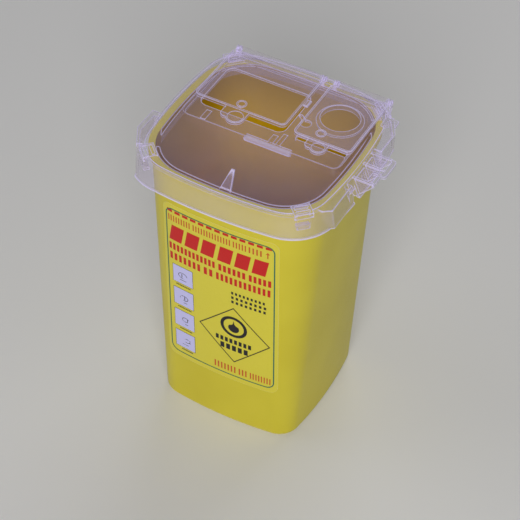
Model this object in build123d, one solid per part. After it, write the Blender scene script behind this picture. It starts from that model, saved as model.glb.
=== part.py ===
"""Small square sharps bin: a tapered bin, a press-on lid with two hinged flaps, and a front label.

Millimetres. The origin is the middle of the bin's base, +Z is up, and the label faces -Y.
Positive X is to the right of somebody who reads the label.
"""
from build123d import *
from math import cos, radians, sin, sqrt
import os

os.makedirs("parts", exist_ok=True)

# ---------------------------------------------------------------- bin
base_half = 35.0          # middle of a side, at the base
draft = 0.046             # how far a side leans out for each mm of height
bin_height = 143.1        # top of the rim
bin_wall = 1.6
bin_floor = 1.8
base_corner = 9.9         # corner radius at the base
corner_draft = 0.090      # growth of that radius for each mm of height
bow_base = 183.0          # radius of a bowed side at the base
bow_rim = 220.0           # the same at the rim
base_edge = 2.4           # rounding between the side and the base
foot_width = 5.0          # ring that the bin stands on
foot_recess = 1.0
gate_pad_radius = 10.0    # round pad in the middle of the base, level with the foot ring
rim_flange = 1.4          # how far the rim stands out from the side
rim_flange_depth = 2.6

# ---------------------------------------------------------------- lid shell
lid_step = 0.82           # lid edge beyond the rim, seen from above
lid_wall = 1.1
lid_edge_corner = 18.9
lid_edge_bow = 206.0
lid_edge_bead = 0.4       # raised edge round the top plate
plate_thick = 1.2
seat_gap = 0.02           # between the plate and the bin's rim
skirt_drop = 9.2          # from the edge bead to the skirt's lip
skirt_flare = 4.0         # how far the skirt leans out over that drop
skirt_corner_gain = 1.2
skirt_bow_gain = 18.0
lip_depth = 0.9
lip_out = 0.4
plug_gap = 0.4            # lid plug inside the bin's mouth
plug_wall = 1.2
plug_depth = 4.0

# ---------------------------------------------------------------- plateau and openings
plateau_left_margin = 6.7   # from the lid's edge to the plateau
plateau_right_margin = 5.2
plateau_front = -10.8
plateau_rise = 2.7        # above the plate
plateau_corner = 4.0
front_slope = 1.4         # run of the sloping front wall
side_slope = 0.8
opening_front = -0.8
opening_left = -32.0
opening_right = 7.9
opening_rear = 26.5
opening_corner = 3.5
port_x = 24.0             # round opening under the small flap
port_y = 20.0
port_radius = 8.4
port_collar = 1.5
port_collar_depth = 1.3
slot_left = 13.9          # latch slot in front of the small flap
slot_right = 36.6
slot_depth = 2.8
keyhole_x = 13.2          # needle notch between the flaps
keyhole_y = 9.8
keyhole_radius = 2.2
keyhole_neck = 1.2
keyhole_length = 5.8

# ---------------------------------------------------------------- flaps
flap_gap = 0.1            # between a closed flap and the plateau
flap_thick = 1.2
flap_corner = 2.4
border_width = 0.9
border_rise = 0.25
flap_overhang = 1.3       # large flap beyond the plateau's left edge
large_right = 7.2
large_front = 2.2
small_left = 11.5
small_overhang = -0.4     # small flap beyond the plateau's right edge
small_front = 0.8
hinge_inset = 4.3         # hinge axis from the lid's rear edge
barrel_clearance = 0.3    # hinge barrel above the lid's edge bead
pin_radius = 0.9
pin_clearance = 0.05
pin_length = 1.3
hinge_end_gap = 0.4       # hinge barrel to hinge ear
ear_thick = 1.5
tab_y = -2.2              # middle of both finger tabs
large_tab_radius = 4.2
large_lobe_offset = 4.6   # from the tab's large lobe to its small one
small_tab_radius = 3.6
small_lobe_offset = 3.8
tab_lobe_radius = 2.2
tab_dish = 0.35
large_tab_x = -13.6
small_tab_x = 25.0
stud_y = 5.9
stud_radius = 2.3
stud_wall = 0.8
stud_rise = 0.3
large_stud_x = -15.0
small_stud_x = 22.2
catch_y = 20.3            # small catch on the large flap's inner edge
catch_length = 4.0
catch_reach = 2.2

# ---------------------------------------------------------------- lid trim
divider_left = 8.6        # low strip between the flaps
divider_right = 10.6
divider_rise = 0.3
grip_left = -5.0          # rounded ridge along the top of the plateau's front wall
grip_right = 16.6
grip_reach = 1.6          # in front of the wall's top edge
grip_back = 1.0           # behind that edge
grip_rise = 0.5           # above the plateau
grip_drop = 1.5           # below the plateau's top
fin_left = 0.4            # upright tooth near the front edge
fin_right = 5.6
fin_inset = 3.9           # from the lid's front edge
fin_height = 9.6
fin_lean = 3.0
fin_thick = 1.2
fin_tip = 1.5
shelf_rib_left = -26.4    # two low ribs on the plateau's front shelf
shelf_rib_right = 5.0
shelf_rib_width = 2.4
shelf_rib_rise = 0.3
window_width = 5.6        # slit through the lid's corner, over a snap arm
window_depth = 1.1
frame_inner = 5.0         # raised frame round the slit, inwards from the lid's corner
frame_outer = 1.3         # the same, outwards
frame_width = 8.0
frame_rise = 0.7          # front frames, above the edge bead
frame_sink = 0.15         # rear frames under the flaps, below the edge bead
groove_inset = 3.4        # blind groove in the frame
groove_depth = 0.9
arm_thick = 1.0           # snap arm that hangs under the frame
arm_end = 1.6             # its lower end, above the skirt's lip
catch_height = 1.6
rim_clearance = 0.8       # snap arm's catch to the bin's rim
rear_shelf_margin = 1.0   # shelf that carries the hinge ears, beyond the flaps
rear_shelf_front = 30.0
rear_shelf_corner = 5.0

# ---------------------------------------------------------------- lid side features
wing_reach = 9.7          # bracket on the right side, beyond the lid's edge
wing_front = -8.3
wing_rear = 9.9
wing_thick = 1.3
loop_reach = 11.6         # the loop at the wing's outer end
loop_front = -1.6
loop_slot_width = 2.1
loop_slot_front = 2.5
loop_rim = 2.0
loop_corner = 1.6
wing_slot_out = 1.6
wing_slot_front = -5.8
wing_slot_rear = -1.2
gusset_thick = 1.2
gusset_end = 2.2
gusset_foot = 1.5
wing_rib_rise = 0.4
notch_height = 4.4        # pry notch in the skirt's lip, in front of the wing
ledge_near = 12.3         # box ledges on both sides, turned half a circle apart
ledge_far = 24.7
ledge_reach = 3.4
ledge_slant = radians(28.4)
ledge_slant_top = 10.4    # length of the slanted wall at the top
ledge_slant_low = 19.5
ledge_inner = 9.0         # how far the ledge's outline runs in under the plate
ledge_lift = 0.3          # ledge bottom above the skirt's lip
side_wall = 1.1
panel_near = 12.3         # boxed-out panel in front of the wing
panel_far = 29.3
panel_end = 31.8
panel_reach = 2.2         # at the top
panel_lean = 1.3          # further out at the lip
tab_near = 26.5           # small flat tab on the right, behind the ledge
tab_far = 33.0
tab_reach = 1.4
tab_depth = 1.1

# ---------------------------------------------------------------- label
label_left = -27.2
label_right = 27.4
label_bottom = 29.9
label_top = 124.7
label_corner = 4.0
label_thick = 0.15


# Heights and half widths that follow from the sizes above
def side_half(z):
    """Half width of the bin at a height, at the middle of a side."""
    return base_half + draft * z


def corner_radius(z):
    return base_corner + corner_draft * z


def bow_radius(z):
    return bow_base + (bow_rim - bow_base) * z / bin_height


plate_low = bin_height + seat_gap
plate_top = plate_low + plate_thick
edge_top = plate_top + lid_edge_bead
skirt_bottom = edge_top - skirt_drop
rim_half = side_half(bin_height) + rim_flange
lid_half = rim_half + lid_step
lid_root = lid_half - lid_wall
plateau_top = plate_top + plateau_rise
flap_bottom = plateau_top + flap_gap
flap_top = flap_bottom + flap_thick
barrel_radius = (flap_top - edge_top - barrel_clearance) / 2
hinge_z = flap_top - barrel_radius
hinge_y = lid_half - hinge_inset
swing_gap = barrel_radius + hinge_end_gap
plateau_left = plateau_left_margin - lid_half
plateau_right = lid_half - plateau_right_margin
plateau_rear = hinge_y - swing_gap
large_left = plateau_left + flap_overhang
small_right = plateau_right + small_overhang


# ---------------------------------------------------------------- shapes used by several pieces
def corner_centre(half, corner, bow):
    """Centre of a round corner, the same in X and Y, that meets both bowed sides smoothly."""
    side_centre = half - bow
    return (side_centre + sqrt(2 * (bow - corner)**2 - side_centre**2)) / 2


def bowed_square(half, corner, bow, z):
    """Face at height z: a square with bowed sides that run into round corners."""
    side_centre = half - bow
    reach = bow - corner
    centre = corner_centre(half, corner, bow)
    tangent_x = side_centre + bow * (centre - side_centre) / reach
    tangent_y = bow * centre / reach
    corner_mid = centre + corner / sqrt(2)
    quarter = [
        ThreePointArc((tangent_x, -tangent_y), (half, 0), (tangent_x, tangent_y)),
        ThreePointArc((tangent_x, tangent_y), (corner_mid, corner_mid), (tangent_y, tangent_x)),
    ]
    edges = [Rot(0, 0, 90 * turn) * edge for turn in range(4) for edge in quarter]
    return Pos(0, 0, z) * make_face(edges)


def tapered(low, high):
    """Solid between two faces that each have the same edges."""
    return loft([low, high], ruled=True)


def bin_section(z, inset):
    return bowed_square(side_half(z) - inset, corner_radius(z) - inset, bow_radius(z) - inset, z)


def lid_section(z, inset):
    """Outline of the flared skirt at a height."""
    fall = (edge_top - z) / skirt_drop
    half = lid_half + skirt_flare * fall
    corner = lid_edge_corner + skirt_corner_gain * fall
    bow = lid_edge_bow + skirt_bow_gain * fall
    return bowed_square(half - inset, corner - inset, bow - inset, z)


def block(x0, x1, y0, y1, z0, z1):
    size = (x1 - x0, y1 - y0, z1 - z0)
    middle = Pos((x0 + x1) / 2, (y0 + y1) / 2, (z0 + z1) / 2)
    return middle * Box(*size)


def rounded_block(x0, x1, y0, y1, z0, z1, radius):
    solid = block(x0, x1, y0, y1, z0, z1)
    return fillet(solid.edges().filter_by(Axis.Z), radius)


def upright(x, y, z0, z1, radius):
    """Round post from z0 up to z1."""
    return Pos(x, y, (z0 + z1) / 2) * Cylinder(radius, z1 - z0)


def rounded_plan(x0, x1, y0, y1, radius, z):
    plan = RectangleRounded(x1 - x0, y1 - y0, radius)
    return Pos((x0 + x1) / 2, (y0 + y1) / 2, z) * plan


def along_x(x0, x1, radius):
    """Round bar on the flap hinge's axis."""
    return Pos((x0 + x1) / 2, hinge_y, hinge_z) * Rot(0, 90, 0) * Cylinder(radius, x1 - x0)


# ---------------------------------------------------------------- bin
# Injection-moulded in one piece: thin drafted walls, a foot ring, and a stiff rim that the lid grips.
def make_bin():
    outside = tapered(bin_section(0, 0), bin_section(bin_height, 0))
    bottom_edges = outside.faces().sort_by(Axis.Z)[0].edges()
    outside = fillet(bottom_edges, base_edge)
    inside = tapered(bin_section(bin_floor + foot_recess, bin_wall), bin_section(bin_height + 1, bin_wall))
    inside_edges = inside.faces().sort_by(Axis.Z)[0].edges()
    inside = fillet(inside_edges, base_edge - bin_wall / 2)
    flange_low = bin_height - rim_flange_depth
    flange = extrude(bin_section(flange_low, -rim_flange), rim_flange_depth)
    recess_half = base_half - base_edge - foot_width
    recess_plan = bowed_square(recess_half, base_corner / 2, bow_base, 0)
    recess = extrude(recess_plan, foot_recess) - upright(0, 0, -1, foot_recess + 1, gate_pad_radius)
    return outside + flange - inside - recess


# ---------------------------------------------------------------- label
# Printed sticker on the front of the bin, bent to the bowed side.
def make_label():
    skin = tapered(bin_section(0, -label_thick), bin_section(bin_height, -label_thick))
    skin -= tapered(bin_section(0, 0), bin_section(bin_height, 0))
    width = label_right - label_left
    height = label_top - label_bottom
    outline = RectangleRounded(width, height, label_corner)
    middle = Pos((label_left + label_right) / 2, 0, (label_bottom + label_top) / 2)
    stencil = extrude(middle * Rot(90, 0, 0) * outline, base_half * 2)
    return skin & stencil


# ---------------------------------------------------------------- lid
# One translucent moulding that snaps over the bin's rim.
def lid_shell():
    """Flared skirt with its thin lip, and the plug that centres the lid in the bin's mouth."""
    skirt = tapered(lid_section(skirt_bottom, 0), lid_section(edge_top, 0))
    lip_top = skirt_bottom + lip_depth
    skirt += tapered(lid_section(skirt_bottom, -lip_out), lid_section(lip_top, -lip_out))
    skirt -= tapered(lid_section(skirt_bottom, lid_wall), lid_section(edge_top, lid_wall))
    skirt += tapered(lid_section(plate_low, lid_wall / 2), lid_section(plate_top, lid_wall / 2))
    plug_outside = bin_wall + plug_gap
    plug_low = bin_height - plug_depth
    plug = tapered(bin_section(plug_low, plug_outside), bin_section(plate_low, plug_outside))
    plug_inside = plug_outside + plug_wall
    plug -= tapered(bin_section(plug_low, plug_inside), bin_section(plate_low, plug_inside))
    return skirt + plug


def raised_block(inset, lower):
    """Outside of the plateau, or the hollow under it."""
    low = rounded_plan(plateau_left + inset, plateau_right - inset, plateau_front + inset,
                       plateau_rear - inset, plateau_corner - inset, plate_top - lower)
    high = rounded_plan(plateau_left + side_slope + inset, plateau_right - side_slope - inset,
                        plateau_front + front_slope + inset, plateau_rear - inset,
                        plateau_corner - inset, plateau_top - lower)
    return loft([low, high], ruled=True)


def opening_cutters():
    """Large opening, round port, latch slot and needle keyhole, all through the plateau's top."""
    low = bin_height - 1
    high = flap_top
    large = rounded_block(opening_left, opening_right, opening_front, opening_rear,
                          low, high, opening_corner)
    port = upright(port_x, port_y, low, high, port_radius)
    slot = block(slot_left, slot_right, opening_front, opening_front + slot_depth, low, high)
    keyhole = upright(keyhole_x, keyhole_y, low, high, keyhole_radius)
    neck = Pos(-keyhole_length / 2, 0, (low + high) / 2) * Box(keyhole_length, keyhole_neck, high - low)
    keyhole += Pos(keyhole_x, keyhole_y, 0) * Rot(0, 0, -40) * neck
    return [large, port, slot, keyhole]


def hinge_ears():
    """Two upright ears for each flap, inside its width, with the bores for its stub pins."""
    ears = []
    for left, right in ((large_left, large_right), (small_left, small_right)):
        for x0, x1 in ((left, left + ear_thick), (right - ear_thick, right)):
            foot = block(x0, x1, hinge_y - barrel_radius, hinge_y + barrel_radius,
                         plate_top - plate_thick / 2, hinge_z)
            ear = foot + along_x(x0, x1, barrel_radius)
            ears.append(ear - along_x(x0 - 1, x1 + 1, pin_radius + pin_clearance))
    return ears


def corner_reach(half, corner, bow):
    """Distance from the axis to the middle of a round corner."""
    return corner_centre(half, corner, bow) * sqrt(2) + corner


def corner_window(turn, rise):
    """Frame on the lid's corner, with the slit through it and its blind groove as cutters."""
    edge = corner_reach(lid_half, lid_edge_corner, lid_edge_bow)
    turned = Rot(0, 0, 45 + 90 * turn)
    top = edge_top + rise
    frame = block(edge - frame_inner, edge + frame_outer, -frame_width / 2, frame_width / 2,
                  plate_low, top)
    slit = block(edge - window_depth, edge, -window_width / 2, window_width / 2,
                 bin_height - 1, flap_top)
    groove = block(edge - groove_inset - window_depth / 2, edge - groove_inset + window_depth / 2,
                   -window_width / 2, window_width / 2, top - groove_depth, flap_top)
    return turned * frame, turned * (slit + groove)


def snap_arm(turn):
    """Arm that hangs from a corner frame, with a catch that reaches under the bin's rim."""
    edge = corner_reach(lid_half, lid_edge_corner, lid_edge_bow)
    rim = corner_reach(rim_half, corner_radius(bin_height) + rim_flange, bow_rim + rim_flange)
    low = skirt_bottom + arm_end
    half_width = window_width / 2
    arm = block(edge, edge + arm_thick, -half_width, half_width, low, plate_top)
    catch = block(rim + rim_clearance, edge + arm_thick, -half_width, half_width,
                  low, low + catch_height)
    return Rot(0, 0, 45 + 90 * turn) * (arm + catch)


def skirt_core():
    """Inside of the skirt, which keeps what is added to the sides out of the bin's rim."""
    return tapered(lid_section(skirt_bottom, lid_wall / 2), lid_section(edge_top, lid_wall / 2))


def gusset(y):
    """Triangular web under the wing, from its outer end down to the skirt's lip."""
    out = lid_half + wing_reach - 1
    inner = rim_half + rim_clearance
    outer_low = edge_top - gusset_end
    foot = out - (outer_low - skirt_bottom)
    profile = [
        (inner, edge_top + wing_rib_rise), (out + 0.7, edge_top + wing_rib_rise), (out, outer_low),
        (foot, skirt_bottom), (inner, skirt_bottom + gusset_foot),
    ]
    web = extrude(Plane.XZ * make_face(Polyline(*profile, close=True)), -gusset_thick)
    return Pos(0, y, 0) * web


def side_wing():
    """Flat bracket on the right side with a loop, two slots and three gussets."""
    out = lid_half + wing_reach
    loop_out = lid_half + loop_reach
    low = edge_top - wing_thick
    wing = block(lid_root, out, wing_front, wing_rear, low, edge_top)
    wing += rounded_block(lid_root + loop_reach / 2, loop_out, loop_front, wing_rear,
                          low, edge_top, loop_corner)
    slot_out = loop_out - loop_rim
    wing -= block(slot_out - loop_slot_width, slot_out, loop_slot_front, wing_rear - gusset_thick,
                  low - 1, edge_top + 1)
    wing -= block(out - wing_slot_out - loop_slot_width, out - wing_slot_out,
                  wing_slot_front, wing_slot_rear, low - 1, edge_top + 1)
    for y in (wing_front, loop_slot_front - gusset_thick, wing_rear - gusset_thick):
        wing += gusset(y)
    return wing


def pry_notch():
    """Cutter for the skirt's lip between the boxed-out panel and the wing."""
    return block(lid_root, lid_half + loop_reach, -panel_near, wing_front,
                 skirt_bottom - 1, skirt_bottom + notch_height)


def ledge_line(length, inset):
    """Point on the ledge's slanted wall, or on its inside, at a length from the ledge's far corner."""
    x = lid_half + ledge_reach - inset / cos(ledge_slant) - length * sin(ledge_slant)
    return x, ledge_far + length * cos(ledge_slant)


def ledge_plan(length, inset):
    """Outline of a ledge: straight beside the lid's edge, then slanted round its corner."""
    near = ledge_near + inset
    out = lid_half + ledge_reach - inset
    points = [(lid_root - 1, near), (out, near), (out, ledge_far), ledge_line(length - inset, inset),
              (lid_root - ledge_inner, ledge_far + ledge_inner / 2)]
    return make_face(Polyline(*points, close=True))


def upward(plan, low, high):
    return extrude(Pos(0, 0, low) * plan, high - low)


def box_ledge():
    """Hollow box beside the lid's edge: its walls, its hollow, and what is cleared outside it."""
    low = skirt_bottom + ledge_lift
    walls = upward(ledge_plan(ledge_slant_top, 0), low, edge_top) - skirt_core()
    hollow = upward(ledge_plan(ledge_slant_top, side_wall), skirt_bottom - 1, plate_low)
    far = 2 * lid_half
    corner = ledge_line(0, 0)
    tip = ledge_line(ledge_slant_low, 0)
    outside = upward(make_face(Polyline(corner, (far, corner[1]), (far, far), (tip[0], far), tip, close=True)),
                     skirt_bottom - 1, edge_top - lid_edge_bead)
    facing_plan = make_face(Polyline(ledge_line(ledge_slant_top - 1, 0), tip,
                                     ledge_line(ledge_slant_low, side_wall),
                                     ledge_line(ledge_slant_top - 1, side_wall), close=True))
    facing = upward(facing_plan, skirt_bottom, edge_top) & tapered(
        lid_section(skirt_bottom, 0), lid_section(edge_top, 0))
    return walls + facing, hollow, outside


def panel_plan(z, inset):
    """Outline of the boxed-out panel at a height."""
    lean = panel_lean * (edge_top - z) / skirt_drop
    out = lid_half + panel_reach + lean - inset
    near = -panel_near - inset
    far = inset - panel_far
    end = inset - panel_end
    points = [(lid_root - 1, near), (out, near), (out, far), (lid_root + lean - inset, end),
              (lid_root - side_wall - 3, end)]
    return Pos(0, 0, z) * make_face(Polyline(*points, close=True))


def side_panel():
    """Boxed-out panel between the wing and the front corner: its walls and its hollow."""
    walls = tapered(panel_plan(skirt_bottom, 0), panel_plan(edge_top, 0)) - skirt_core()
    hollow = tapered(panel_plan(skirt_bottom - 1, side_wall), panel_plan(plate_low, side_wall))
    return walls, hollow


def side_tab():
    """Small flat tab beyond the lid's edge, behind the right ledge."""
    out = lid_half + tab_reach
    return rounded_block(out - 6, out, tab_near, tab_far, edge_top - tab_depth, edge_top, 0.8)


def upright_fin():
    """Thin pointed tooth that leans back over the plate."""
    y = -(lid_half - fin_inset)
    base = Plane.XY.offset(plate_top - 0.3) * Pos((fin_left + fin_right) / 2, y) * Rectangle(
        fin_right - fin_left, fin_thick)
    tip = Plane.XY.offset(plate_top + fin_height) * Pos(fin_right - fin_tip / 2, y + fin_lean) * Rectangle(
        fin_tip, fin_thick / 2)
    return loft([base, tip], ruled=True)


def grip_ridge():
    edge = plateau_front + front_slope
    ridge = block(grip_left, grip_right, edge - grip_reach, edge + grip_back,
                  plateau_top - grip_drop, plateau_top + grip_rise)
    ends = ridge.edges().filter_by(Axis.Y)
    ridge = fillet(ends, (grip_drop + grip_rise) / 2 - 0.1)
    return fillet(ridge.faces().sort_by(Axis.Y)[0].edges(), grip_reach / 4)


def make_lid():
    lid = lid_shell()
    lid += rounded_block(large_left - rear_shelf_margin, small_right + rear_shelf_margin,
                         rear_shelf_front, hinge_y + swing_gap, plate_low, plate_top, rear_shelf_corner)
    lid += raised_block(0, 0)
    lid -= raised_block(lid_wall, plate_thick)
    lid += upright(port_x, port_y, plateau_top - plate_thick - port_collar_depth, plateau_top,
                   port_radius + port_collar)
    for cutter in opening_cutters():
        lid -= cutter
    strip_front = plateau_front + front_slope + 0.2
    strip_low = plateau_top - plate_thick / 2
    lid += block(divider_left, divider_right, strip_front, opening_front,
                 strip_low, plateau_top + divider_rise)
    for x in (shelf_rib_left, shelf_rib_right):
        lid += block(x, x + shelf_rib_width, strip_front, opening_front - shelf_rib_width,
                     strip_low, plateau_top + shelf_rib_rise)
    for ear in hinge_ears():
        lid += ear
    lid += grip_ridge()
    lid += upright_fin()
    walls, hollow, outside = box_ledge()
    for turn in (0, 180):
        lid -= Rot(0, 0, turn) * outside
        lid += Rot(0, 0, turn) * walls
        lid -= Rot(0, 0, turn) * hollow
    walls, hollow = side_panel()
    lid = lid + walls - hollow
    lid += side_tab()
    for turn in range(4):
        under_flap = turn < 2
        frame, slots = corner_window(turn, -frame_sink if under_flap else frame_rise)
        lid += frame
        lid += snap_arm(turn)
        lid -= slots
    lid += side_wing()
    return lid - pry_notch()


# ---------------------------------------------------------------- flaps
# Two separate mouldings that clip between the lid's ears on stub pins.
def finger_tab(x, front, radius, lobe_offset):
    """Two round lobes in front of a flap, with a shallow dish in the larger one."""
    tab = upright(x, tab_y, flap_bottom, flap_top, radius)
    tab += upright(x - lobe_offset, tab_y, flap_bottom, flap_top, tab_lobe_radius)
    tab += block(x - lobe_offset - tab_lobe_radius, x + radius, tab_y, front + 1, flap_bottom, flap_top)
    tab -= upright(x, tab_y, flap_top - tab_dish, flap_top + 1, radius - border_width)
    return tab


def make_flap(left, right, front, tab, stud_x):
    """Plate with a barrel along its rear edge between the ears, and a stub pin at each end."""
    ear_space = ear_thick + hinge_end_gap
    plate = rounded_block(left, right, front, hinge_y - swing_gap, flap_bottom, flap_top, flap_corner)
    plate += block(left + ear_space, right - ear_space, hinge_y - 2 * swing_gap, hinge_y,
                   flap_bottom, flap_top)
    flap = plate + along_x(left + ear_space, right - ear_space, barrel_radius)
    flap += along_x(left + ear_thick - pin_length, left + ear_space + 1, pin_radius)
    flap += along_x(right - ear_space - 1, right - ear_thick + pin_length, pin_radius)
    border_top = flap_top + border_rise
    border_rear = hinge_y - swing_gap
    border = rounded_block(left, right, front, border_rear, flap_top - 0.1, border_top, flap_corner)
    border -= rounded_block(left + border_width, right - border_width, front + border_width,
                            border_rear - border_width, flap_top - 1, border_top + 1,
                            flap_corner - border_width)
    border &= block(left - 1, right + 1, front - 1, border_rear - flap_corner, flap_top - 1, border_top + 1)
    flap += border
    flap += tab
    stud = upright(stud_x, stud_y, flap_top - 0.1, flap_top + stud_rise, stud_radius)
    stud -= upright(stud_x, stud_y, flap_top - 1, flap_top + 1, stud_radius - stud_wall)
    return flap + stud


def make_large_flap():
    tab = finger_tab(large_tab_x, large_front, large_tab_radius, large_lobe_offset)
    flap = make_flap(large_left, large_right, large_front, tab, large_stud_x)
    catch = block(large_right - 1, large_right + catch_reach, catch_y - catch_length / 2,
                  catch_y + catch_length / 2, plateau_top + 2 * divider_rise, flap_top)
    return flap + catch


def make_small_flap():
    tab = finger_tab(small_tab_x, small_front, small_tab_radius, small_lobe_offset)
    return make_flap(small_left, small_right, small_front, tab, small_stud_x)


export_step(make_bin(), "parts/bin.step")
export_step(make_label(), "parts/label.step")
export_step(make_lid(), "parts/lid.step")
export_step(make_large_flap(), "parts/large_flap.step")
export_step(make_small_flap(), "parts/small_flap.step")
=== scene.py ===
"""Small square sharps bin with a translucent two-flap lid, dressed round its CAD frame."""
from math import cos, pi, radians, sin

import bpy
from mathutils import Matrix, Vector


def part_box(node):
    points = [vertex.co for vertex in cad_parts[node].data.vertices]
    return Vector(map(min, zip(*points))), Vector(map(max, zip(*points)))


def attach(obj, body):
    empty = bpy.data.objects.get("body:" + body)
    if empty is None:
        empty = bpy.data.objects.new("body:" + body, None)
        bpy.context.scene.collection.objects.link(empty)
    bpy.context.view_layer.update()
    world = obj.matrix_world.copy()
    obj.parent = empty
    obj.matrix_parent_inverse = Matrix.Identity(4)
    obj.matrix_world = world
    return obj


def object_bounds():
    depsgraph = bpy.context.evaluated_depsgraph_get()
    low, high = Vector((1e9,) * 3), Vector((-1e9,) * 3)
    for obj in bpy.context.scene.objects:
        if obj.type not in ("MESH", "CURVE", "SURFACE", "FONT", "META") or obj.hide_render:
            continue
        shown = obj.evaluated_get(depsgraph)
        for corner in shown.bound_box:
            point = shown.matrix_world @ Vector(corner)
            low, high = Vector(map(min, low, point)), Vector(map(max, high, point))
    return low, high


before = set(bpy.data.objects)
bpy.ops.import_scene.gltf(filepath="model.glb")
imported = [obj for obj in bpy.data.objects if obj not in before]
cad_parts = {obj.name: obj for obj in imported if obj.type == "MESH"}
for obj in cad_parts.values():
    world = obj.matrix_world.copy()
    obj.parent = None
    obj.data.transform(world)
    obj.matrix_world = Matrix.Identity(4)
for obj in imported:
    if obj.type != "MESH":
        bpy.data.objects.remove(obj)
cad_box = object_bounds()
bpy.ops.object.select_all(action="DESELECT")

# ---------------------------------------------------------------- camera
# A long portrait lens, a little less than a metre away, looks down on the lid from in front and to
# the right. Its turn, rise and roll are in degrees, and its lens and film width in millimetres.
MM = 0.001
camera_turn = radians(27.509)
camera_rise = radians(44.485)
camera_roll = radians(1.793)
camera_distance = 857.47 * MM
camera_aim = Vector((-1.1, 0.0, 69.25)) * MM
camera_lens = 134.84
film_width = 36.0

back = Vector((sin(camera_turn) * cos(camera_rise), -cos(camera_turn) * cos(camera_rise), sin(camera_rise)))
level_right = Vector((cos(camera_turn), sin(camera_turn), 0.0))
level_up = back.cross(level_right)
right = level_right * cos(camera_roll) + level_up * sin(camera_roll)
up = level_up * cos(camera_roll) - level_right * sin(camera_roll)

camera_data = bpy.data.cameras.new("camera")
camera_data.lens = camera_lens
camera_data.sensor_width = film_width
camera_data.clip_start = 0.05
camera = bpy.data.objects.new("camera", camera_data)
bpy.context.scene.collection.objects.link(camera)
turned = Matrix((right, up, back)).transposed().to_4x4()
camera.matrix_world = Matrix.Translation(camera_aim + back * camera_distance) @ turned
bpy.context.scene.camera = camera


# ---------------------------------------------------------------- table and studio light
# A pale matt laminate tabletop, and three soft boxes: a low one in front for the walls, a weak
# one at the left, and one behind and above that catches the lid's edges.
def srgb(code):
    """Linear colour of an sRGB hex code."""
    channels = [int(code[i:i + 2], 16) / 255 for i in (1, 3, 5)]
    return [c / 12.92 if c <= 0.04045 else ((c + 0.055) / 1.055) ** 2.4 for c in channels] + [1.0]


def node(tree, kind, inputs, **settings):
    """Adds a shader node; an input is given a value, or the output socket that feeds it."""
    new = tree.nodes.new(kind)
    for name, value in settings.items():
        setattr(new, name, value)
    for name, value in inputs.items():
        if isinstance(value, bpy.types.NodeSocket):
            tree.links.new(value, new.inputs[name])
        else:
            new.inputs[name].default_value = value
    return new


def new_material(name):
    """An empty material: its node tree, and the object coordinates its patterns are laid on."""
    material = bpy.data.materials.new(name)
    material.use_nodes = True
    material.node_tree.nodes.clear()
    place = material.node_tree.nodes.new("ShaderNodeTexCoord").outputs["Object"]
    return material, material.node_tree, place


table_width = 6.0
light_target = Vector((0.0, 0.0, 0.08))

bpy.ops.mesh.primitive_plane_add(size=table_width, location=(0.0, 0.0, cad_box[0][2]))
table = bpy.context.object
table.name = "table"
table_material, tree, place = new_material("matt_white_laminate")
shader = node(tree, "ShaderNodeBsdfPrincipled", {"Base Color": srgb("#F2F1F0"), "Roughness": 0.7})
node(tree, "ShaderNodeOutputMaterial", {"Surface": shader.outputs[0]})
table.data.materials.append(table_material)


def soft_box(name, place, size, watts):
    """Square area light that faces the object."""
    data = bpy.data.lights.new(name, "AREA")
    data.size = size
    data.energy = watts
    light = bpy.data.objects.new(name, data)
    bpy.context.scene.collection.objects.link(light)
    light.location = place
    light.rotation_euler = (light_target - Vector(place)).to_track_quat("-Z", "Y").to_euler()


soft_box("key_box", (0.42, -0.93, 0.72), 0.6, 7.8)
soft_box("left_box", (-0.95, -0.35, 0.5), 0.7, 1.2)
soft_box("back_box", (-0.1, 0.9, 0.8), 0.8, 3.0)
world = bpy.data.worlds.new("studio")
bpy.context.scene.world = world
world.use_nodes = True
room = world.node_tree.nodes["Background"].inputs
room["Color"].default_value = srgb("#E8E9EE")
room["Strength"].default_value = 0.13
bpy.context.scene.view_settings.view_transform = "Standard"


# ---------------------------------------------------------------- bin
# The tub is one injection moulding in polypropylene coloured opaque yellow, drawn off its core
# through the top, and stood on its own base.
def dress(name, material):
    """Gives a CAD node the one material."""
    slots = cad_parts[name].data.materials
    slots.clear()
    slots.append(material)


# Yellow polypropylene, injection-moulded against a lightly blasted steel: satin, with a very fine
# even grain, faint flow clouds where the melt spread, and pale scuffs where it rubs on a shelf.
blast_grain = 0.45 * MM        # the real grain is nearer 0.1 mm, too fine to show
flow_cloud = 38.0 * MM
scuff_height = 3.0 * MM
scuff_size = 1.6 * MM
grain_depth = 0.05 * MM
light_reaches = 95.0 * MM      # up to here the inside is painted a bright yellow, as if lit through the opening
lid_shades = 135.0 * MM        # and from here to the rim it is painted brown: painted shade of the lid
bin_material, tree, place = new_material("yellow_polypropylene")
cloud = node(tree, "ShaderNodeTexNoise", {"Vector": place, "Scale": 1.0 / flow_cloud, "Detail": 2.0})
tint = node(tree, "ShaderNodeValToRGB", {"Fac": cloud.outputs["Fac"]})
tint.color_ramp.elements[0].position = 0.35
tint.color_ramp.elements[0].color = srgb("#D8C828")
tint.color_ramp.elements[1].position = 0.65
tint.color_ramp.elements[1].color = srgb("#DECF30")
height = node(tree, "ShaderNodeSeparateXYZ", {"Vector": place}).outputs["Z"]
low = node(tree, "ShaderNodeMapRange",
           {"Value": height, "From Min": 0.0, "From Max": scuff_height, "To Min": 1.0, "To Max": 0.0})
rub = node(tree, "ShaderNodeTexNoise", {"Vector": place, "Scale": 1.0 / scuff_size, "Detail": 4.0})
rub_mask = node(tree, "ShaderNodeMapRange",
                {"Value": rub.outputs["Fac"], "From Min": 0.52, "From Max": 0.66})
scuff = node(tree, "ShaderNodeMath", {0: low.outputs[0], 1: rub_mask.outputs[0]}, operation="MULTIPLY")
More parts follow.
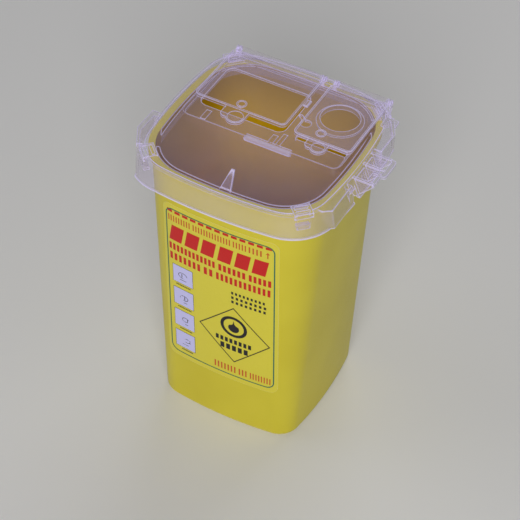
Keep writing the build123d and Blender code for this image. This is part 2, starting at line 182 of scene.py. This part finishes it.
scuffed = node(tree, "ShaderNodeMix",
               {"Factor": scuff.outputs[0], 6: tint.outputs["Color"], 7: srgb("#E9E29A")}, data_type="RGBA")
# The core side is given a deeper, warmer yellow than outside, painted darker towards the rim: painted light
# and shade of the inside, which stays when the lid is lifted. It is told from the outer side by its faces,
# which look towards the tub's middle.
tub_middle = (0.0, 0.0, 60.0 * MM)
outward = node(tree, "ShaderNodeVectorMath", {0: place, 1: tub_middle}, operation="SUBTRACT")
facing = node(tree, "ShaderNodeVectorMath",
              {0: outward.outputs[0], 1: node(tree, "ShaderNodeNewGeometry", {}).outputs["Normal"]},
              operation="DOT_PRODUCT")
inside = node(tree, "ShaderNodeMath", {0: facing.outputs["Value"], 1: 0.0}, operation="LESS_THAN")
painted_shade_depth = node(tree, "ShaderNodeMapRange",
             {"Value": height, "From Min": light_reaches, "From Max": lid_shades})
# Painted shade: the inner yellow turns brown between light_reaches and lid_shades, as if shaded by the lid.
inner_painted_shade = node(tree, "ShaderNodeMix",
            {"Factor": painted_shade_depth.outputs[0], 6: srgb("#F0C418"), 7: srgb("#AC880E")}, data_type="RGBA")
yellow = node(tree, "ShaderNodeMix",
              {"Factor": inside.outputs[0], 6: scuffed.outputs[2], 7: inner_painted_shade.outputs[2]}, data_type="RGBA")
grain = node(tree, "ShaderNodeTexNoise", {"Vector": place, "Scale": 1.0 / blast_grain, "Detail": 1.0})
satin = node(tree, "ShaderNodeMapRange",
             {"Value": grain.outputs["Fac"], "From Min": 0.3, "From Max": 0.7,
              "To Min": 0.34, "To Max": 0.46})
bump = node(tree, "ShaderNodeBump",
            {"Height": grain.outputs["Fac"], "Strength": 0.12, "Distance": grain_depth})
shader = node(tree, "ShaderNodeBsdfPrincipled",
              {"Base Color": yellow.outputs[2], "Roughness": satin.outputs[0], "IOR": 1.49,
               "Normal": bump.outputs[0]})
node(tree, "ShaderNodeOutputMaterial", {"Surface": shader.outputs[0]})
dress("bin", bin_material)


# ---------------------------------------------------------------- label
# One sheet of self-adhesive vinyl film, die-cut with round corners, and pressed by hand on to the
# slightly crowned front wall, where its own glue holds it.
def edge_mask(tree, radius, low, high):
    """1 along a piece's edges and 0 on its flats, read from how a rounded normal leaves the flat one."""
    rounded = node(tree, "ShaderNodeBevel", {"Radius": radius}, samples=6)
    flat = node(tree, "ShaderNodeNewGeometry", {}).outputs["True Normal"]
    along = node(tree, "ShaderNodeVectorMath", {0: rounded.outputs[0], 1: flat}, operation="DOT_PRODUCT")
    lean = node(tree, "ShaderNodeMath", {0: 1.0, 1: along.outputs["Value"]}, operation="SUBTRACT")
    return node(tree, "ShaderNodeMapRange",
                {"Value": lean.outputs[0], "From Min": low, "From Max": high}).outputs[0]


# Calendered vinyl film, flexo-printed yellow: smoother and glossier than the tub, with a slight
# print mottle, and a pale line where the die cut shows the film's white edge.
film_mottle = 0.8 * MM
cut_width = 0.3 * MM
label_material, tree, place = new_material("printed_vinyl")
mottle = node(tree, "ShaderNodeTexNoise", {"Vector": place, "Scale": 1.0 / film_mottle, "Detail": 3.0})
ground = node(tree, "ShaderNodeMix",
              {"Factor": mottle.outputs["Fac"], 6: srgb("#E2D436"), 7: srgb("#E8DB40")}, data_type="RGBA")
cut = edge_mask(tree, cut_width, 0.03, 0.2)
film = node(tree, "ShaderNodeMix",
            {"Factor": cut, 6: ground.outputs[2], 7: srgb("#F0ECB0")}, data_type="RGBA")
gloss = node(tree, "ShaderNodeMapRange",
             {"Value": mottle.outputs["Fac"], "To Min": 0.26, "To Max": 0.36})
shader = node(tree, "ShaderNodeBsdfPrincipled",
              {"Base Color": film.outputs[2], "Roughness": gloss.outputs[0], "IOR": 1.53})
node(tree, "ShaderNodeOutputMaterial", {"Surface": shader.outputs[0]})
dress("label", label_material)

# ---------------------------------------------------------------- label print
# Inks laid on the film by printing plates, here plain marks in place of words: a fill line, a
# heading band, rows of strokes, picture panels and a diamond. Each is a thin skin on the sticker.
print_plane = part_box("label")[0][1] - 3.0 * MM
ink_skin = 0.06 * MM
ink_gap = 0.02 * MM            # keeps the ink's back off the film's face
ink_mottle = 0.6 * MM
short_bar = 1.5                # a wider bar, in millimetres, is cut up to follow the crown


def shape(kind, x, z, width, height, **settings):
    """Upright flat primitive in front of the sticker, sized in millimetres, its place in its mesh."""
    bpy.ops.object.select_all(action="DESELECT")
    getattr(bpy.ops.mesh, "primitive_" + kind + "_add")(
        location=(x * MM, print_plane, z * MM), rotation=(pi / 2, 0.0, 0.0), **settings)
    piece = bpy.context.object
    piece.scale = (width * MM, height * MM, 1.0)
    bpy.ops.object.transform_apply(location=True, rotation=True, scale=True)
    return piece


def cut_up(piece, cuts):
    """Divides a flat piece so that it can follow the sticker's slight crown."""
    bpy.ops.object.mode_set(mode="EDIT")
    bpy.ops.mesh.select_all(action="SELECT")
    bpy.ops.mesh.subdivide(number_cuts=cuts)
    bpy.ops.object.mode_set(mode="OBJECT")


def bar(left, right, bottom, top, slant=0.0):
    """Plain block; slant leans its top edge to the right."""
    piece = shape("plane", (left + right) / 2, (bottom + top) / 2, right - left, top - bottom, size=1.0)
    if right - left > short_bar:
        cut_up(piece, 5)
    if slant:
        middle = (bottom + top) / 2 * MM
        for point in piece.data.vertices:
            point.co.x += slant * (point.co.z - middle) / (top - bottom)
    return piece


def strokes(left, right, bottom, top, count, fill=0.6):
    """Row of like upright strokes, evenly spaced."""
    pitch = (right - left) / (count - 1 + fill)
    piece = bar(left, left + pitch * fill, bottom, top)
    array = piece.modifiers.new("row", "ARRAY")
    array.count = count
    array.use_relative_offset = False
    array.use_constant_offset = True
    array.constant_offset_displace = (pitch * MM, 0.0, 0.0)
    bpy.ops.object.modifier_apply(modifier="row")
    return piece


def outline(piece, line, corner=0.0, cuts=1):
    """Opens a flat piece into a line of that width along its edge, with round corners."""
    bpy.ops.object.mode_set(mode="EDIT")
    bpy.ops.mesh.select_all(action="SELECT")
    if corner:
        bpy.ops.mesh.bevel(affect="VERTICES", offset=corner * MM, segments=6)
    bpy.ops.mesh.select_all(action="SELECT")
    bpy.ops.mesh.inset(thickness=line * MM)
    bpy.ops.mesh.delete(type="FACE")
    bpy.ops.object.mode_set(mode="OBJECT")
    cut_up(piece, cuts)
    return piece


def ring(x, z, radius, line, flat=1.0):
    """Round or oval line."""
    return outline(shape("circle", x, z, 2 * radius, 2 * radius * flat, vertices=28, radius=0.5,
                         fill_type="NGON"), line)


def print_ink(name, pieces, code):
    """Joins the marks of one ink, lays them on the sticker and gives them their skin and colour."""
    bpy.ops.object.select_all(action="DESELECT")
    for piece in pieces:
        piece.select_set(True)
    bpy.context.view_layer.objects.active = pieces[0]
    bpy.ops.object.join()
    ink = bpy.context.object
    ink.name = name
    wrap = ink.modifiers.new("wrap", "SHRINKWRAP")
    wrap.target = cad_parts["label"]
    wrap.wrap_method = "PROJECT"
    wrap.use_project_y = True
    wrap.wrap_mode = "ABOVE_SURFACE"
    wrap.offset = ink_gap
    skin = ink.modifiers.new("skin", "SOLIDIFY")
    skin.thickness = ink_skin
    skin.offset = 1.0
    for modifier in ("wrap", "skin"):
        bpy.ops.object.modifier_apply(modifier=modifier)

    # Water-based flexo ink on vinyl: an even colour with a slight mottle, a little less glossy
    # than the bare film.
    material, tree, place = new_material(name.replace("print", "ink"))
    mottle = node(tree, "ShaderNodeTexNoise", {"Vector": place, "Scale": 1.0 / ink_mottle, "Detail": 3.0})
    thin = [min(1.0, c * 1.12 + 0.004) for c in srgb(code)[:3]] + [1.0]
    tone = node(tree, "ShaderNodeMix", {"Factor": mottle.outputs["Fac"], 6: srgb(code), 7: thin},
                data_type="RGBA")
    gloss = node(tree, "ShaderNodeMapRange",
                 {"Value": mottle.outputs["Fac"], "To Min": 0.34, "To Max": 0.46})
    shader = node(tree, "ShaderNodeBsdfPrincipled",
                  {"Base Color": tone.outputs[2], "Roughness": gloss.outputs[0], "IOR": 1.5,
                   "Specular IOR Level": 0.35})
    node(tree, "ShaderNodeOutputMaterial", {"Surface": shader.outputs[0]})
    ink.data.materials.clear()
    ink.data.materials.append(material)
    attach(ink, "bin")


# Green: the border line, with round corners.
border_line = 0.5
border_corner = 4.0
border = shape("plane", 0.1, 77.45, 51.6, 89.7, size=1.0)
print_ink("label_print_green", [outline(border, border_line, border_corner, 15)], "#0C6A5C")

# Red: the broken fill line, a heading band of six slanted blocks, and two rows of strokes.
block_left = (-23.4, -15.6, -7.7, 0.4, 8.4, 16.4)
block_width = 6.2
block_slant = 1.6
red = [strokes(-24.8, 24.6, 120.1, 121.5, 13, 0.68)]
for left in block_left:
    red.append(bar(left, left + block_width, 103.7, 112.6, block_slant))
for left, right, count in ((-24.3, -1.6, 12), (0.2, 12.7, 6), (14.4, 24.3, 5)):
    red.append(strokes(left, right, 97.9, 101.7, count))
for left, right, count in ((-24.1, -8.9, 7), (-7.0, -2.9, 2), (-1.0, 24.0, 12)):
    red.append(strokes(left, right, 91.9, 96.0, count, 0.56))
print_ink("label_print_red", red, "#CC1512")

# Orange: one row of fine strokes with a small pointer to the fill line, and the bottom row.
orange = []
for left, right, count in ((-24.3, -13.4, 9), (-11.9, 5.9, 14), (7.2, 13.2, 5), (14.4, 20.2, 4)):
    orange.append(strokes(left, right, 115.0, 118.4, count, 0.4))
orange.append(bar(22.6, 23.1, 114.9, 117.2))
orange.append(shape("circle", 22.85, 117.6, 2.0, 1.7, vertices=3, radius=0.5, fill_type="NGON"))
for left, right, count in ((-2.8, 7.6, 7), (9.2, 13.0, 3), (14.6, 24.3, 8)):
    orange.append(strokes(left, right, 35.0, 38.9, count, 0.42))
print_ink("label_print_orange", orange, "#CE5A22")

# White: four picture panels down the left side.
panel_rows = (78.7, 64.6, 50.6, 36.8)
panel_height = 10.4
panels = [bar(-23.0, -12.9, bottom, bottom + panel_height) for bottom in panel_rows]
print_ink("label_print_white", panels, "#CECBFF")

# Black: panel outlines, plain marks and captions, three lines of strokes, and the diamond with a
# drop in a ring over two rows of strokes.
black = []
for index, bottom in enumerate(panel_rows):
    middle = bottom + panel_height / 2
    black.append(outline(shape("plane", -17.95, middle, 10.3, 10.6, size=1.0), 0.16, cuts=5))
    black.append(strokes(-21.5 + 0.5 * index, -14.2, bottom - 1.6, bottom - 1.0, 9, 0.7))
    black.append(ring(-18.0 + 0.3 * index, middle, 2.3 - 0.2 * index, 0.3, 0.75))
    black.append(bar(-19.6, -16.2, middle - 3.0, middle - 2.7))
    black.append(bar(-18.6 + index, -18.2 + index, middle - 1.0, middle + 1.0))
for bottom, right, count in ((86.0, 21.6, 9), (83.2, 22.2, 8), (80.5, 22.0, 8)):
    black.append(strokes(6.1, right, bottom, bottom + 1.5, count, 0.5))
diamond_x = 7.0
diamond = shape("circle", diamond_x, 59.8, 34.2, 35.4, vertices=4, radius=0.5, fill_type="NGON")
black.append(outline(diamond, 0.45, cuts=9))
black.append(ring(diamond_x, 65.2, 6.4, 1.5))
drop = shape("circle", diamond_x, 64.4, 5.2, 5.2, vertices=24, radius=0.5, fill_type="NGON")
drop_shoulder = 0.9 * MM
drop_point = 2.1 * MM
peak = max(drop.data.vertices, key=lambda point: point.co.z)
for point in drop.data.vertices:
    if point.co.z > peak.co.z - drop_shoulder and point != peak:
        point.co.x = diamond_x * MM + (point.co.x - diamond_x * MM) * 0.6
peak.co.z += drop_point
cut_up(drop, 2)
black.append(drop)
black.append(strokes(-1.8, 15.2, 54.2, 56.9, 8, 0.62))
black.append(strokes(0.4, 13.6, 49.6, 52.9, 5, 0.66))
print_ink("label_print_black", black, "#14121E")

# ---------------------------------------------------------------- lid and flaps
# The lid and its two flaps are three mouldings in natural polypropylene, with no colour added,
# the lid pressed on to the rim and the flaps clipped on to its hinge pins.
# Milky and lets a blurred view through its 1.1 mm walls. Every edge is painted as a bright line: more
# opaque, a paler lavender and given a painted glow, standing in for the light that travels inside the sheet
# and comes out at its edges.
def within(tree, axes, *ranges):
    """1 inside a box given as three ranges in millimetres, and 0 outside it."""
    result = 1.0
    for axis, (low, high) in zip(axes, ranges):
        test = node(tree, "ShaderNodeMath", {0: axis, 1: (low + high) / 2 * MM, 2: (high - low) / 2 * MM},
                    operation="COMPARE")
        result = node(tree, "ShaderNodeMath", {0: result, 1: test.outputs[0]},
                      operation="MULTIPLY").outputs[0]
    return result


edge_reach = 0.75 * MM         # less than the wall, so that only edges and thin ribs show
haze_cloud = 18.0 * MM
ripple_size = 0.6 * MM
ripple_depth = 0.05 * MM
skirt_top = 141.5 * MM         # the skirt's fuller milkiness starts to fade from here
plate_top = 143.5 * MM         # to here, where the polish of the top begins
plug_zone = ((-44.5, 44.5), (-48.0, 48.0), (138.8, 142.9))
ridge_zone = ((-5.1, 16.7), (-11.1, -9.2), (145.4, 147.6))
milkiness = {"lid": (0.16, 0.20), "large_flap": (0.10, 0.13), "small_flap": (0.12, 0.15)}
edge_milkiness = 0.82
ridge_milkiness_and_glow = 0.7
for name, (milk_low, milk_high) in milkiness.items():
    material, tree, place = new_material("natural_polypropylene_" + name)
    near = node(tree, "ShaderNodeAmbientOcclusion", {"Distance": edge_reach},
                inside=True, only_local=True, samples=8)
    edge = node(tree, "ShaderNodeMapRange",
                {"Value": near.outputs["AO"], "From Min": 0.90, "From Max": 0.62}).outputs[0]
    axes = node(tree, "ShaderNodeSeparateXYZ", {"Vector": place}).outputs
    # The ring that plugs the bin's mouth is seen through the plate, which blurs its edges away.
    in_plug = within(tree, axes, *plug_zone)
    shown = node(tree, "ShaderNodeMath", {0: in_plug, 1: -0.8, 2: 1.0}, operation="MULTIPLY_ADD")
    edge = node(tree, "ShaderNodeMath", {0: edge, 1: shown.outputs[0]}, operation="MULTIPLY").outputs[0]
    # The grip ridge is the thickest part of the lid, so it is the milkiest; it also gets the edges' paler
    # colour and painted glow.
    in_ridge = within(tree, axes, *ridge_zone)
    thick = node(tree, "ShaderNodeMath", {0: in_ridge, 1: ridge_milkiness_and_glow}, operation="MULTIPLY")
    edge = node(tree, "ShaderNodeMath", {0: edge, 1: thick.outputs[0]}, operation="MAXIMUM").outputs[0]
    haze = node(tree, "ShaderNodeTexNoise", {"Vector": place, "Scale": 1.0 / haze_cloud, "Detail": 3.0})
    milk = node(tree, "ShaderNodeMapRange",
                {"Value": haze.outputs["Fac"], "From Min": 0.3, "From Max": 0.7,
                 "To Min": milk_low, "To Max": milk_high})
    # The top plate comes off polished steel and is clearer than the skirt, which has a fine texture.
    in_top = node(tree, "ShaderNodeMapRange",
                  {"Value": axes["Z"], "From Min": skirt_top, "From Max": plate_top,
                   "To Min": 1.0, "To Max": 0.75})
    clear = node(tree, "ShaderNodeMath", {0: milk.outputs[0], 1: in_top.outputs[0]}, operation="MULTIPLY")
    alpha = node(tree, "ShaderNodeMix", {"Factor": edge, 2: clear.outputs[0], 3: edge_milkiness})
    # Painted highlight: edges and the ridge get a paler lavender.
    colour = node(tree, "ShaderNodeMix",
                  {"Factor": edge, 6: srgb("#C4B4D6"), 7: srgb("#DDD4F6")}, data_type="RGBA")
    # Painted glow: edges and the ridge give off a faint lavender light, though the lid is no lamp.
    painted_edge_glow = node(tree, "ShaderNodeMix",
                {"Factor": edge, 6: srgb("#000000"), 7: srgb("#4C4662")}, data_type="RGBA")
    ripple = node(tree, "ShaderNodeTexNoise", {"Vector": place, "Scale": 1.0 / ripple_size, "Detail": 2.0})
    bump = node(tree, "ShaderNodeBump",
                {"Height": ripple.outputs["Fac"], "Strength": 0.08, "Distance": ripple_depth})
    shader = node(tree, "ShaderNodeBsdfPrincipled",
                  {"Base Color": colour.outputs[2], "Roughness": 0.34, "IOR": 1.49,
                   "Alpha": alpha.outputs[0], "Normal": bump.outputs[0],
                   "Emission Color": painted_edge_glow.outputs[2], "Emission Strength": 1.0})
    node(tree, "ShaderNodeOutputMaterial", {"Surface": shader.outputs[0]})
    dress(name, material)
    # The thin milky sheet passes nearly all the light that falls on it, so it throws no shadow.
    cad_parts[name].visible_shadow = False
